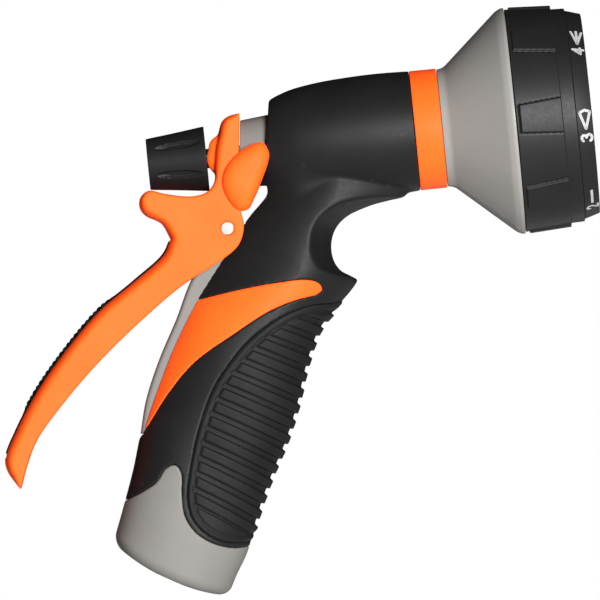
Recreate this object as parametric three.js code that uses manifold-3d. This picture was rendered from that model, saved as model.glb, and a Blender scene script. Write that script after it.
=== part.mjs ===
// Rear-lever hose spray nozzle with a seven-pattern dial head.
// Millimetres. The origin is the centre of the hose inlet, +X is the spray direction, +Z is up, and the
// object is the same on both sides of the plane Y = 0.
import * as THREE from "three";
import { mergeVertices } from "three/addons/utils/BufferGeometryUtils.js";
import Module from "manifold-3d";

const wasm = await Module();
wasm.setup();

// ---------------------------------------------------------------- driving dimensions
const RAKE = THREE.MathUtils.degToRad(25); // the handle leans back by this much from the vertical
const HEAD_Z = 130; // height of the barrel and head axis
const VALVE_Z = 127.8; // height of the valve stem and knob axis
const PIVOT = { x: 28.5, z: 105.8 }; // lever pivot
const GAP = 0.3; // clearance between touching pieces
const SHELL_WALL = 2.5;
const INLAY_DEPTH = 1.2;
const FINENESS = 0.05; // facets flatter than this are merged

const BARREL = { rear: 44.9, front: 88.7, radius: 18.4 };
const COLLAR = { rear: 88.9, front: 97.0, inner: 15.2 };
const BELL = { rear: 97.2, front: 119.6, neck: 17.9, mouth: 34.9, wall: 2.4 };
const DIAL = { rear: 119.9, step: 134.0, front: 138.2, radius: 34.5, padRise: 0.5, inner: 32.3 };
const RIM = { rear: 138.4, front: 143.1, inner: 29.0 };
const FACE = { rear: 139.4, front: 142.4, radius: 28.8, hub: 6.2 };
const PATTERNS = 7;
const PATTERN_RADIUS = 19.0;
const DIAL_PADS = 8;

const SOCKET = { radius: 14.8, depth: 13.5 }; // recess for the threaded hose nut
const NUT = { outer: 14.5, crest: 12.3, root: 13.6, length: 12.6, pitch: 2.21 }; // 3/4"-11.5 hose thread
const WATERWAY = { outer: 11.6, bore: 7.5 };
const HOUSING = { rear: 47.0, front: 95.2, outer: 12.6, bore: 10.0 };
const SPINE_HALF = 6.5; // half thickness of the grey spine and pivot lug

const LEVER = { half: 12.5, wall: 2.4 };
const PIN_RADIUS = 1.95;
const STEM = { rear: 8.5, front: 84.9, radius: 3.0 };
const KNOB = { rear: 6.5, front: 24.1, rearRadius: 7.7, frontRadius: 9.7 };

// ---------------------------------------------------------------- solids and meshes
const across = new THREE.Vector2(Math.cos(RAKE), -Math.sin(RAKE)); // rear to front across the handle
const along = new THREE.Vector2(Math.sin(RAKE), Math.cos(RAKE)); // from the inlet up the handle

// A point of the side view given in handle terms: t forward across the handle, h up along it.
function inHandle(t, h) {
  return [across.x * t + along.x * h, across.y * t + along.y * h];
}

function solidOf(geometry) {
  const bare = geometry.index ? geometry.toNonIndexed() : geometry.clone();
  bare.deleteAttribute("normal");
  bare.deleteAttribute("uv");
  const merged = mergeVertices(bare, 1e-4);
  const corners = [];
  const index = merged.index.array;
  for (let i = 0; i < index.length; i += 3) {
    const [a, b, c] = [index[i], index[i + 1], index[i + 2]];
    if (a !== b && b !== c && c !== a) corners.push(a, b, c);
  }
  const build = (triVerts) =>
    new wasm.Manifold(
      new wasm.Mesh({ numProp: 3, vertProperties: merged.attributes.position.array, triVerts }),
    );
  const solid = build(new Uint32Array(corners));
  return solid.volume() < 0 ? build(new Uint32Array(corners.reverse())) : solid;
}

function geometryOf(solid) {
  const mesh = solid.getMesh();
  const positions = new Float32Array(mesh.numVert * 3);
  for (let i = 0; i < mesh.numVert; i++) {
    positions.set(mesh.vertProperties.subarray(i * mesh.numProp, i * mesh.numProp + 3), i * 3);
  }
  const geometry = new THREE.BufferGeometry();
  geometry.setAttribute("position", new THREE.BufferAttribute(positions, 3));
  geometry.setIndex(new THREE.BufferAttribute(new Uint32Array(mesh.triVerts), 1));
  geometry.computeVertexNormals();
  return geometry;
}

// A body turned about an axis parallel to X. The profile is a list of [x, radius].
function turned(profile, axisZ, segments = 40) {
  const points = profile.map(([x, r]) => new THREE.Vector2(r, x));
  const geometry = new THREE.LatheGeometry(points, segments).rotateZ(-Math.PI / 2);
  return solidOf(geometry.translate(0, 0, axisZ));
}

function tube(x0, x1, inner, outer, axisZ, segments = 40) {
  const closed = [[x0, inner], [x0, outer], [x1, outer], [x1, inner], [x0, inner]];
  return turned(closed, axisZ, segments);
}

function disc(x0, x1, radius, axisZ, segments = 40) {
  return turned([[x0, 0], [x0, radius], [x1, radius], [x1, 0]], axisZ, segments);
}

// A plate cut to an outline of the side view, from y0 to y1.
function plate(outline, y0, y1) {
  const shape = new THREE.Shape(outline.map(([x, z]) => new THREE.Vector2(x, z)));
  const geometry = new THREE.ExtrudeGeometry(shape, { depth: y1 - y0, bevelEnabled: false });
  return solidOf(geometry.rotateX(Math.PI / 2).translate(0, y1, 0));
}

// A rod along Y.
function crossRod(x, z, radius, y0, y1, segments = 24) {
  const rod = new THREE.CylinderGeometry(radius, radius, y1 - y0, segments);
  return solidOf(rod.translate(x, (y0 + y1) / 2, z));
}

// A rod along X.
function axialRod(x0, x1, y, z, radius, segments = 12) {
  const rod = new THREE.CylinderGeometry(radius, radius, x1 - x0, segments).rotateZ(-Math.PI / 2);
  return solidOf(rod.translate((x0 + x1) / 2, y, z));
}

// A rod along the handle, from height h0 to h1 above the inlet.
function handleRod(h0, h1, radius, segments = 36) {
  const rod = new THREE.CylinderGeometry(radius, radius, h1 - h0, segments);
  rod.translate(0, (h0 + h1) / 2, 0).rotateX(Math.PI / 2).rotateY(RAKE);
  return solidOf(rod);
}

// A closed skin over a row of sections, each a ring of the same number of points.
function loft(sections) {
  const count = sections[0].length;
  const positions = [];
  const index = [];
  for (const ring of sections) for (const p of ring) positions.push(p.x, p.y, p.z);
  for (let s = 0; s < sections.length - 1; s++) {
    for (let i = 0; i < count; i++) {
      const a = s * count + i;
      const b = s * count + ((i + 1) % count);
      index.push(a, b, b + count, a, b + count, a + count);
    }
  }
  for (const [s, reversed] of [[0, true], [sections.length - 1, false]]) {
    const hub = positions.length / 3;
    const middle = new THREE.Vector3();
    for (const p of sections[s]) middle.addScaledVector(p, 1 / count);
    positions.push(middle.x, middle.y, middle.z);
    for (let i = 0; i < count; i++) {
      const a = s * count + i;
      const b = s * count + ((i + 1) % count);
      index.push(hub, reversed ? b : a, reversed ? a : b);
    }
  }
  const geometry = new THREE.BufferGeometry();
  geometry.setAttribute("position", new THREE.Float32BufferAttribute(positions, 3));
  geometry.setIndex(index);
  return solidOf(geometry);
}

// A smooth open line through side-view points.
function curveThrough(points, steps) {
  const curve = new THREE.CatmullRomCurve3(
    points.map(([x, z]) => new THREE.Vector3(x, 0, z)),
    false,
    "centripetal",
  );
  return curve.getPoints(steps).map((p) => [p.x, p.z]);
}

// The same line moved sideways, to its right as it runs.
function movedAside(line, distance) {
  return line.map((p, i) => {
    const before = line[Math.max(0, i - 1)];
    const after = line[Math.min(line.length - 1, i + 1)];
    const dx = after[0] - before[0];
    const dz = after[1] - before[1];
    const length = Math.hypot(dx, dz);
    return [p[0] + (dz / length) * distance, p[1] - (dx / length) * distance];
  });
}

// ---------------------------------------------------------------- the body's outer form
// Each rung crosses the side view from the rear outline to the front outline. The section on it is an
// oval of the given half width, squarer at the front where the finger groove has its edge.
function handleRung(h, rear, front, half, square = 2.3) {
  return { rear: inHandle(rear, h), front: inHandle(front, h), half, square };
}

const RUNGS = [
  handleRung(0, -16.4, 16.0, 16.2),
  handleRung(0.9, -17.7, 17.1, 16.9),
  handleRung(2.6, -19.0, 18.1, 17.3),
  handleRung(6, -20.1, 18.8, 17.6),
  handleRung(16, -21.1, 19.6, 17.9),
  handleRung(28, -22.1, 18.1, 17.7),
  handleRung(40, -22.9, 18.4, 17.4),
  handleRung(52, -23.0, 19.3, 17.5),
  handleRung(64, -22.6, 18.8, 17.5),
  handleRung(76, -21.5, 17.4, 17.2),
  handleRung(88, -19.5, 17.6, 16.9),
  handleRung(97, -17.2, 20.3, 16.6),
  handleRung(103.5, -15.2, 24.2, 16.4, 2.6),
  { rear: [32.0, 103.5], front: [66.0, 86.6], half: 16.2, square: 2.8 },
  { rear: [35.6, 109.5], front: [60.6, 91.0], half: 15.8, square: 3.0 },
  { rear: [38.3, 114.0], front: [59.6, 96.5], half: 15.6, square: 3.0 },
  { rear: [40.8, 120.0], front: [60.8, 101.0], half: 15.6, square: 3.0 },
  { rear: [42.6, 127.0], front: [63.6, 104.8], half: 15.2, square: 2.8 },
  { rear: [47.0, 134.0], front: [69.0, 107.5], half: 13.8, square: 2.4 },
  { rear: [56.0, 139.0], front: [77.0, 109.4], half: 10.5, square: 2.2 },
  { rear: [70.0, 140.0], front: [85.5, 111.2], half: 6.0, square: 2.0 },
];
const SECTION_POINTS = 16;

function section(rung, inset, count = SECTION_POINTS) {
  const rear = new THREE.Vector3(rung.rear[0], 0, rung.rear[1]);
  const front = new THREE.Vector3(rung.front[0], 0, rung.front[1]);
  const reach = front.clone().sub(rear);
  const half = reach.length() / 2 - inset;
  const middle = rear.clone().addScaledVector(reach, 0.5);
  reach.normalize();
  const ring = [];
  for (let i = 0; i < count; i++) {
    const angle = (2 * Math.PI * i) / count;
    const [c, s] = [Math.cos(angle), Math.sin(angle)];
    const power = 2 / (c > 0 ? rung.square : 2.2);
    const p = middle.clone().addScaledVector(reach, half * Math.sign(c) * Math.abs(c) ** power);
    p.y = (rung.half - inset) * Math.sign(s) * Math.abs(s) ** power;
    ring.push(p);
  }
  return ring;
}

const BARREL_PROFILE = [
  [BARREL.rear, 13.2], [46.6, 14.7], [51.0, 16.3], [57.0, 17.5],
  [63.5, 18.2], [73.7, 18.6], [81.5, 18.6], [BARREL.front, BARREL.radius],
];

// The whole outer form, moved inwards by the inset. An inset form stops short of the open ends.
function bodyForm(inset) {
  const rungs = inset > SHELL_WALL - 0.1 ? RUNGS.slice(2) : RUNGS;
  const handle = loft(rungs.map((rung) => section(rung, inset)));
  const skin = BARREL_PROFILE.map(([x, r]) => [Math.max(x, BARREL.rear + inset), r - inset]);
  const end = BARREL.front + inset;
  const profile = [[skin[0][0], 0], ...skin, [end, BARREL.radius - inset], [end, 0]];
  return handle.add(turned(profile, HEAD_Z, 32));
}

const OUTER = bodyForm(0);
const INLAY_FLOOR = bodyForm(INLAY_DEPTH);
const POCKET_FLOOR = bodyForm(INLAY_DEPTH + GAP);
const INNER = bodyForm(SHELL_WALL);
const CORE_LIMIT = bodyForm(SHELL_WALL + GAP);

// ---------------------------------------------------------------- side-view outlines on the body
const GREY_EDGE = curveThrough(
  [
    [-16, 23.8], [-10.9, 25.7], [-5.5, 27.8], [-0.8, 30.4], [2.6, 34.4], [5.4, 35.1], [7.0, 32.4],
    [6.5, 26], [6.8, 19.2], [9.2, 14.4], [13.6, 10.6], [19.5, 8.2], [24, 7.9], [31, 8.9],
  ],
  26,
);
const PAD_EDGE = curveThrough(
  [
    [66, 82.5], [59.7, 79.9], [51.4, 79.6], [42.5, 77.2], [33.6, 72.3], [26, 65.5], [19.1, 56.8],
    [13.4, 44.4], [9.8, 33], [8.2, 24.5], [9.0, 18.3], [12.6, 13.4], [18.0, 10.2], [24.5, 9.5], [31, 10.6],
  ],
  28,
);
const ACCENT_TOP = curveThrough(
  [
    [12, 84.3], [17.6, 84.9], [29, 86.5], [41, 87.6],
    [51.5, 87.6], [54.8, 86.2], [55.6, 84.2], [53.6, 82.7],
  ],
  14,
);
const ACCENT_BOTTOM = curveThrough(
  [
    [53.6, 82.7], [46.9, 81.7], [38.5, 79.1], [27.6, 73.5],
    [14.4, 65.9], [5.6, 57.4], [-2.4, 47.2], [-8, 40.5],
  ],
  14,
);
const SPINE_OUTLINE = [
  ...curveThrough([[25, 100.5], [16.8, 92.6], [9.9, 79.3], [3.5, 67.6], [-1.7, 55.7], [-5.3, 42.6]], 10),
  [0.5, 42.6],
  ...curveThrough([[4.5, 55], [12, 70], [21.5, 84], [33, 96], [44, 112]], 6),
];

const greyRegion = () => plate([...GREY_EDGE, [31, -20], [-40, -20], [-40, 23.8]], -30, 30);
const padRegion = () => plate([...PAD_EDGE, [40, 12], [74, 60], [74, 82.5]], -30, 30);
const accentOutline = () => [...ACCENT_TOP, ...ACCENT_BOTTOM.slice(1)];
const spineRegion = (grow) => plate(movedAside(SPINE_OUTLINE, grow), -SPINE_HALF - grow, SPINE_HALF + grow);
const lug = (radius, half) => crossRod(PIVOT.x, PIVOT.z, radius, -half, half, 28);

function lugBridge(grow) {
  const outline = [[24.2, 100.6], [33.5, 96.5], [45, 108], [45, 118], [30, 112]];
  return plate(movedAside(outline, grow), -SPINE_HALF - grow, SPINE_HALF + grow);
}

// ---------------------------------------------------------------- body pieces
const socketVoid = () => handleRod(-5, SOCKET.depth, SOCKET.radius, 40);

function inletEnd() {
  return OUTER.intersect(greyRegion())
    .subtract(socketVoid())
    .subtract(handleRod(5, 60, WATERWAY.outer + GAP));
}

function pocketCutter() {
  const accent = plate(movedAside(accentOutline(), -GAP - 0.05), -30, 30);
  const greyEdgeGap = plate([...movedAside(GREY_EDGE, -GAP), [31, -20], [-40, -20], [-40, 23.8]], -30, 30);
  const padGap = plate([...movedAside(PAD_EDGE, GAP), [40, 12], [74, 60], [74, 82.5]], -30, 30);
  const skin = accent.add(padGap).subtract(POCKET_FLOOR);
  return skin.add(greyEdgeGap);
}

// The ribs are spaced along the front of the handle, and the lower they are the more they slant.
const RIB = { count: 16, pitch: 4.9, width: 2.8, rise: 1.25, lowest: 22.3, steepest: 0.15, frontReach: 19 };

function ribs() {
  const reach = loft(RUNGS.map((rung) => section(rung, -RIB.rise, 12)));
  const inside = plate([...movedAside(PAD_EDGE, -1.3), [40, 14], [74, 60], [74, 80]], -30, 30);
  let slabs = null;
  for (let i = 0; i < RIB.count; i++) {
    const slant = RIB.steepest * (1 - i / (RIB.count - 1));
    const line = (t, rise) => inHandle(t, RIB.lowest + i * RIB.pitch + rise - (t - RIB.frontReach) * slant);
    const outline = [line(-30, 0), line(40, 0), line(40, RIB.width), line(-30, RIB.width)];
    const slab = plate(outline, -30, 30);
    slabs = slabs ? slabs.add(slab) : slab;
  }
  return reach.intersect(inside).intersect(slabs);
}

function gripPad() {
  const bedding = OUTER.intersect(padRegion()).subtract(INLAY_FLOOR);
  return bedding.add(ribs().subtract(INLAY_FLOOR));
}

function coreVoids() {
  const bore = handleRod(4, 136, WATERWAY.bore);
  const chamber = disc(HOUSING.rear - 8, HOUSING.front + 5, HOUSING.bore, VALVE_Z);
  return bore.add(chamber);
}

function core() {
  const waterway = handleRod(SOCKET.depth + GAP, 134, WATERWAY.outer);
  const housing = disc(HOUSING.rear, HOUSING.front, HOUSING.outer, VALVE_Z);
  const hidden = waterway.add(housing).intersect(CORE_LIMIT.add(handleRod(0, 60, WATERWAY.outer))
    .add(disc(80, HOUSING.front, HOUSING.outer, VALVE_Z)));
  const spine = spineRegion(0).add(lugBridge(0)).add(lug(6.0, SPINE_HALF));
  return hidden
    .add(spine)
    .subtract(disc(GLAND.rear - 1, HOUSING.rear, GLAND.front + GAP, VALVE_Z))
    .subtract(coreVoids())
    .subtract(lug(PIN_RADIUS + GAP, 20));
}

function shells() {
  const spineGap = spineRegion(GAP)
    .add(lugBridge(GAP))
    .add(lug(6.0 + GAP, SPINE_HALF + GAP));
  const glandHole = disc(30, 60, GLAND.front + 0.5, VALVE_Z);
  const housingHole = disc(70, 110, HOUSING.outer + GAP, VALVE_Z);
  const both = OUTER.subtract(INNER)
    .subtract(pocketCutter())
    .subtract(spineGap)
    .subtract(glandHole)
    .subtract(housingHole);
  const side = (y0, y1) => plate([[-60, -40], [110, -40], [110, 170], [-60, 170]], y0, y1);
  return { left: both.intersect(side(0.15, 40)), right: both.intersect(side(-40, -0.15)) };
}

function accent(side) {
  const [y0, y1] = side > 0 ? [SPINE_HALF + GAP, 40] : [-40, -SPINE_HALF - GAP];
  return OUTER.intersect(plate(accentOutline(), y0, y1)).subtract(INLAY_FLOOR);
}

// ---------------------------------------------------------------- hose inlet
function inletNut() {
  const profile = [[0, NUT.crest + 0.6], [0, NUT.outer], [NUT.length, NUT.outer], [NUT.length, 10.2]];
  const inside = [[NUT.length - 1.6, 10.2], [NUT.length - 1.6, NUT.root]];
  for (let turn = 0; turn < 4; turn++) {
    const top = NUT.length - 2.6 - turn * NUT.pitch;
    inside.push([top - NUT.pitch * 0.35, NUT.crest], [top - NUT.pitch * 0.65, NUT.crest]);
    if (turn < 3) inside.push([top - NUT.pitch, NUT.root]);
  }
  const closed = [...profile, ...inside, profile[0]];
  return turnedInHandle(closed, 0, 28);
}

// A body turned about the handle's axis. The profile is a list of [height, radius].
function turnedInHandle(profile, lift, segments) {
  const points = profile.map(([h, r]) => new THREE.Vector2(r, h + lift));
  return solidOf(new THREE.LatheGeometry(points, segments).rotateX(Math.PI / 2).rotateY(RAKE));
}

function inletWasher() {
  return turnedInHandle([[0, 8.2], [0, 11.9], [2.6, 11.9], [2.6, 8.2], [0, 8.2]], 8.1, 28);
}

function filterScreen() {
  let screen = turnedInHandle([[0, 0], [0, 9.6], [0.8, 9.6], [0.8, 0]], 12.0 - 1.05, 28);
  for (let i = 0; i < 6; i++) {
    const a = (i * Math.PI) / 3;
    const hole = new THREE.CylinderGeometry(1.6, 1.6, 6, 6);
    hole.translate(4.6 * Math.cos(a), 11, 4.6 * Math.sin(a)).rotateX(Math.PI / 2).rotateY(RAKE);
    screen = screen.subtract(solidOf(hole));
  }
  return screen.subtract(handleRod(5, 20, 1.6, 8));
}

// ---------------------------------------------------------------- valve
const GLAND = { rear: 35.8, face: 45.2, front: 11.3, tail: 10.1, plug: 9.6, plugEnd: 52.0 };

function gland() {
  const profile = [
    [GLAND.rear, STEM.radius + 0.45], [GLAND.rear, GLAND.tail - 0.6], [GLAND.rear + 0.6, GLAND.tail],
    [GLAND.face, GLAND.front], [46.6, GLAND.front], [46.6, GLAND.plug], [GLAND.plugEnd, GLAND.plug],
    [GLAND.plugEnd, 5.0], [46.0, 5.0], [46.0, STEM.radius + 0.45], [GLAND.rear, STEM.radius + 0.45],
  ];
  return turned(profile, VALVE_Z, 32);
}

function ringSeal(x, axisY, axisZ, radius, thickness, steps = 20) {
  const ring = new THREE.TorusGeometry(radius, thickness, 8, steps).rotateY(Math.PI / 2);
  return solidOf(ring.translate(x, axisY, axisZ));
}

class Helix extends THREE.Curve {
  constructor(x0, x1, radius, turns, y, z) {
    super();
    Object.assign(this, { x0, x1, radius, turns, y, z });
  }

  getPoint(t) {
    const a = 2 * Math.PI * this.turns * t;
    const x = THREE.MathUtils.lerp(this.x0, this.x1, t);
    return new THREE.Vector3(x, this.y + this.radius * Math.cos(a), this.z + this.radius * Math.sin(a));
  }
}

function spring(x0, x1, radius, wire, turns, y, z, sides = 3, perTurn = 10) {
  const shape = new THREE.Shape();
  shape.absarc(0, 0, wire / 2, 0, 2 * Math.PI);
  const path = new Helix(x0 + wire / 2, x1 - wire / 2, radius, turns, y, z);
  const made = new THREE.ExtrudeGeometry(shape, {
    steps: turns * perTurn, curveSegments: sides, extrudePath: path, bevelEnabled: false,
  });
  return solidOf(made);
}

const VALVE = { seatRear: 86.0, seatFront: 89.0, washerRear: 84.4, headRear: 80.4 };

function valveStem() {
  const profile = [
    [STEM.rear, 0], [STEM.rear, 2.2], [14.0, 2.2], [14.0, STEM.radius],
    [STEM.front, STEM.radius], [STEM.front, 0],
  ];
  return turned(profile, VALVE_Z, 20);
}

function valveHead() {
  const profile = [
    [VALVE.headRear, STEM.radius + GAP], [VALVE.headRear, 5.2], [82.0, 8.6], [84.1, 8.6],
    [84.1, STEM.radius + GAP], [VALVE.headRear, STEM.radius + GAP],
  ];
  return turned(profile, VALVE_Z, 28);
}

// ---------------------------------------------------------------- lever
const LEVER_BACK = curveThrough(
  [
    [10.6, 104.5], [7.9, 99.9], [-1.7, 92.8], [-13.4, 84.7], [-25, 73.5],
    [-34.8, 62.1], [-42.5, 50.5], [-46.5, 42.5], [-46.3, 38.5], [-42.7, 32.3],
  ],
  26,
);
const LEVER_FRONT = curveThrough(
  [
    [-42.7, 32.3], [-39.9, 39.8], [-36.3, 46.8], [-26.2, 58.2], [-14.3, 69.4], [-0.5, 80.4],
    [13, 89.8], [25.8, 96.3], [31.4, 100.4], [33.6, 105.8], [33.0, 111.5],
  ],
  22,
);
const YOKE = curveThrough([[33.0, 111.5], [33.6, 122], [34.6, 131], [35.7, 140.7]], 5);
const YOKE_BACK = curveThrough(
  [
    [35.7, 140.7], [32.0, 140.0], [30.0, 138.6], [28.4, 134.7], [27.0, 131.0], [26.3, 125], [26.0, 120.6],
    [23.4, 117.6], [18.5, 116.7], [10.4, 118.3], [5.6, 119.7], [2.9, 118.0], [2.2, 115], [3.6, 112.3],
    [8.4, 109.2], [10.6, 104.5],
  ],
  30,
);
const LOBE = { x: 29.9, z: 127.4, radius: 5.5, half: 8.4 }; // the cam lobe that bears on the knob

function leverOutline() {
  return [...LEVER_BACK, ...LEVER_FRONT.slice(1), ...YOKE.slice(1), ...YOKE_BACK.slice(1, -1)];
}

function leverChannel(half) {
  const floor = curveThrough(
    [
      [-36.6, 48.6], [-38.2, 51.4], [-30.7, 63.6], [-21, 74.6], [-9, 85.6], [3.6, 94.2],
      [12.8, 100.8], [15.0, 106.5], [19.5, 112], [26, 115.5], [40, 117],
    ],
    20,
  );
  return plate([...floor, [60, 90], [20, 70], [-10, 45], [-32, 40]], -half, half);
}

function leverPadOutline(outward, inward) {
  const back = LEVER_BACK.slice(2, 22);
  return [...movedAside(back, outward), ...movedAside(back, -inward).reverse()];
}

function lever() {
  const stemSlot = axialRod(10, 45, 0, VALVE_Z, 4.6, 20).add(axialRod(10, 45, 0, VALVE_Z - 1.2, 4.6, 20));
  return plate(leverOutline(), -LEVER.half, LEVER.half)
    .add(crossRod(LOBE.x, LOBE.z, LOBE.radius, -LOBE.half, LOBE.half, 28))
    .subtract(leverChannel(LEVER.half - LEVER.wall))
    .subtract(plate(leverPadOutline(3, 1.1), -9.3, 9.3))
    .subtract(stemSlot)
    .subtract(lug(PIN_RADIUS + GAP, 30))
    .subtract(lug(7.2, SPINE_HALF + 0.6));
}

function leverPad() {
  return plate(leverPadOutline(0.5, 0.8), -9, 9);
}

const GUARD_OUTLINE = curveThrough(
  [
    [42.7, 130.6], [43.7, 127.8], [43.2, 124.6], [41.2, 119.8], [38.2, 114.2], [35.8, 111.0], [32.6, 110.9],
    [29.6, 114.4], [28.2, 119.6], [29.6, 124.2], [34.6, 128.9], [39.6, 131.0], [42.7, 130.6],
  ],
  24,
).slice(0, -1);

function guard(side) {
  const middle = [36.2, 121.0];
  const layers = [[0, 1], [1.4, 0.97], [2.5, 0.84], [3.1, 0.6], [3.3, 0.3]];
  return loft(
    layers.map(([rise, share]) =>
      GUARD_OUTLINE.map(
        ([x, z]) =>
          new THREE.Vector3(
            middle[0] + (x - middle[0]) * share,
            side * (LEVER.half + GAP + rise),
            middle[1] + (z - middle[1]) * share,
          ),
      ),
    ),
  );
}

// ---------------------------------------------------------------- knob
function flowKnob() {
  const profile = [
    [KNOB.rear + 0.3, 0], [KNOB.rear + 0.3, 5.4], [KNOB.rear, 5.9], [KNOB.rear, KNOB.rearRadius - 0.7],
    [KNOB.rear + 0.7, KNOB.rearRadius], [KNOB.front - 0.5, KNOB.frontRadius],
    [KNOB.front, KNOB.frontRadius - 0.5],
    [KNOB.front, 4.4], [13.4, 4.4], [13.4, 2.55], [8.2, 2.55], [8.2, 0],
  ];
  let knob = turned(profile, VALVE_Z, 36);
  for (let i = 0; i < 8; i++) {
    const a = ((i + 0.5) * Math.PI) / 4;
    const flute = new THREE.SphereGeometry(1, 8, 4).scale(7.0, 1.3, 1.15);
    flute.rotateZ(Math.atan2(KNOB.frontRadius - KNOB.rearRadius, KNOB.front - KNOB.rear));
    flute.translate(15.6, 9.0, 0).rotateX(a);
    knob = knob.subtract(solidOf(flute.translate(0, 0, VALVE_Z)));
  }
  return knob;
}

const knobInsert = () => tube(14.3, 23.6, STEM.radius + GAP, 4.1, VALVE_Z, 20);

// ---------------------------------------------------------------- head
const collarRing = () => tube(COLLAR.rear, COLLAR.front, COLLAR.inner, BARREL.radius, HEAD_Z, 44);

function headBell() {
  const outer = [
    [BELL.rear, BELL.neck], [98.3, 18.2], [117.0, 33.9], [118.3, BELL.mouth], [BELL.front, BELL.mouth],
  ];
  const inner = [[BELL.front, BELL.mouth - BELL.wall], [117.4, 31.8], [99.4, 15.6], [BELL.rear, 13.4]];
  return turned([...outer, ...inner, outer[0]], HEAD_Z, 48);
}

const PORT = { rear: 114.0, front: 118.2, radius: 31.3 };

function portDisc() {
  const { rear, front, radius } = PORT;
  const hub = disc(front - 0.5, 138.0, 5.6, HEAD_Z, 24);
  const profile = [[rear, 0], [rear, radius - 3.1], [front - 0.8, radius], [front, radius], [front, 0]];
  return turned(profile, HEAD_Z, 36)
    .add(hub)
    .subtract(axialRod(100, 125, 0, HEAD_Z + PATTERN_RADIUS, 3.4, 16))
    .subtract(axialRod(115.0, 125, 0, HEAD_Z - 26, 1.9, 12))
    .subtract(axialRod(125, 140, 0, HEAD_Z, 1.7, 12));
}

function aroundDial(i, radius) {
  const a = (2 * Math.PI * i) / PATTERNS;
  return [radius * Math.sin(a), HEAD_Z + radius * Math.cos(a)];
}

function selectorPlate() {
  let rotor = tube(120.5, 123.4, 6.0, 31.9, HEAD_Z, 40);
  for (let i = 0; i < PATTERNS; i++) {
    const [y, z] = aroundDial(i, PATTERN_RADIUS);
    rotor = rotor.subtract(axialRod(118, 126, y, z, 2.6, 10));
  }
  return rotor;
}

function dialRing() {
  const R = DIAL.radius;
  const profile = [
    [DIAL.rear, DIAL.inner], [DIAL.rear, R - 0.6], [DIAL.rear + 0.5, R], [DIAL.step - 0.5, R - 0.85],
    [DIAL.step, R - 1.2], [DIAL.step, 33.1], [DIAL.front - 0.4, 33.0], [DIAL.front, 32.6],
    [DIAL.front, DIAL.inner], [DIAL.rear, DIAL.inner],
  ];
  let ring = turned(profile, HEAD_Z, 56);
  for (let i = 0; i < DIAL_PADS; i++) ring = ring.add(dialPad((i * 2 * Math.PI) / DIAL_PADS));
  return ring;
}

// A raised thumb pad on the dial, wider towards the spray face.
function dialPad(angle) {
  const layers = [[DIAL.rear + 0.9, 7.7, 34.4], [DIAL.step - 0.3, 10.2, 33.6]];
  const sections = layers.map(([x, spread, radius]) => {
    const ring = [];
    const widths = [-1, -0.5, 0, 0.5, 1];
    for (const [r, order] of [[radius - 1, widths], [radius + DIAL.padRise, [...widths].reverse()]]) {
      for (const w of order) {
        const a = angle + THREE.MathUtils.degToRad(spread) * w;
        ring.push(new THREE.Vector3(x, r * Math.cos(a), HEAD_Z + r * Math.sin(a)));
      }
    }
    return ring;
  });
  return loft(sections);
}

function rimRing() {
  const profile = [
    [RIM.rear, RIM.inner], [RIM.rear, 32.2], [RIM.front - 0.4, 30.9],
    [RIM.front, 30.5], [RIM.front, RIM.inner],
    [RIM.rear, RIM.inner],
  ];
  return turned(profile, HEAD_Z, 56);
}

// Holes of the four patterns that are drilled straight into the face, as [y, z, radius] about its centre.
function drilledHoles() {
  const holes = [];
  const ringOf = (i, count, spread, radius) => {
    const [cy, cz] = aroundDial(i, PATTERN_RADIUS);
    for (let k = 0; k < count; k++) {
      const a = (2 * Math.PI * k) / count;
      holes.push([cy + spread * Math.cos(a), cz + spread * Math.sin(a), radius]);
    }
  };
  ringOf(0, 1, 0, 0.6);
  ringOf(0, 6, 2.6, 0.6);
  ringOf(0, 8, 5.2, 0.6);
  ringOf(3, 8, 5.2, 1.0);
  ringOf(5, 5, 3.4, 0.8);
  return holes;
}

const INSERTS = { jet_insert: 1, cone_insert: 2, mist_insert: 6 };
const INSERT_RADIUS = 5.2;

function sprayFace() {
  let face = tube(FACE.rear, FACE.front, FACE.hub, FACE.radius, HEAD_Z, 48);
  for (const [y, z, r] of drilledHoles()) face = face.subtract(axialRod(136, 146, y, z, r, 6));
  for (const i of Object.values(INSERTS)) {
    const [y, z] = aroundDial(i, PATTERN_RADIUS);
    face = face.subtract(axialRod(136, 146, y, z, INSERT_RADIUS + GAP, 20));
  }
  const [slotY, slotZ] = aroundDial(4, PATTERN_RADIUS);
  const slot = new THREE.BoxGeometry(10, 10.5, 1.0).translate(141, slotY, slotZ);
  return face.subtract(solidOf(slot));
}

function insert(name, boreRadius, nose) {
  const [y, z] = aroundDial(INSERTS[name], PATTERN_RADIUS);
  const profile = [
    [138.6, boreRadius], [138.6, INSERT_RADIUS], [142.4, INSERT_RADIUS],
    [142.4 + nose, INSERT_RADIUS - 2.4],
    [142.4 + nose, boreRadius], [138.6, boreRadius],
  ];
  const points = profile.map(([x, r]) => new THREE.Vector2(r, x));
  return solidOf(new THREE.LatheGeometry(points, 20).rotateZ(-Math.PI / 2).translate(0, y, z));
}

function faceCap() {
  const radius = FACE.hub - GAP;
  return turned([[139.2, 0], [139.2, radius], [142.4, radius], [142.9, 4.2], [142.9, 0]], HEAD_Z, 24);
}

function centreScrew() {
  return disc(128, 138.3, 1.4, HEAD_Z, 12).add(disc(138.2, 138.9, 3.6, HEAD_Z, 16));
}

function detentBall() {
  return solidOf(new THREE.SphereGeometry(1.5, 12, 8).translate(118.7, 0, HEAD_Z - 26));
}

// ---------------------------------------------------------------- the assembly
const COLOURS = {
  black: [0x262626, 0.55], rubber: [0x242424, 0.75], orange: [0xff6a22, 0.42], grey: [0xa8a49e, 0.4],
  steel: [0xc9ccd0, 0.3], brass: [0xc8a24a, 0.35],
};

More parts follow.
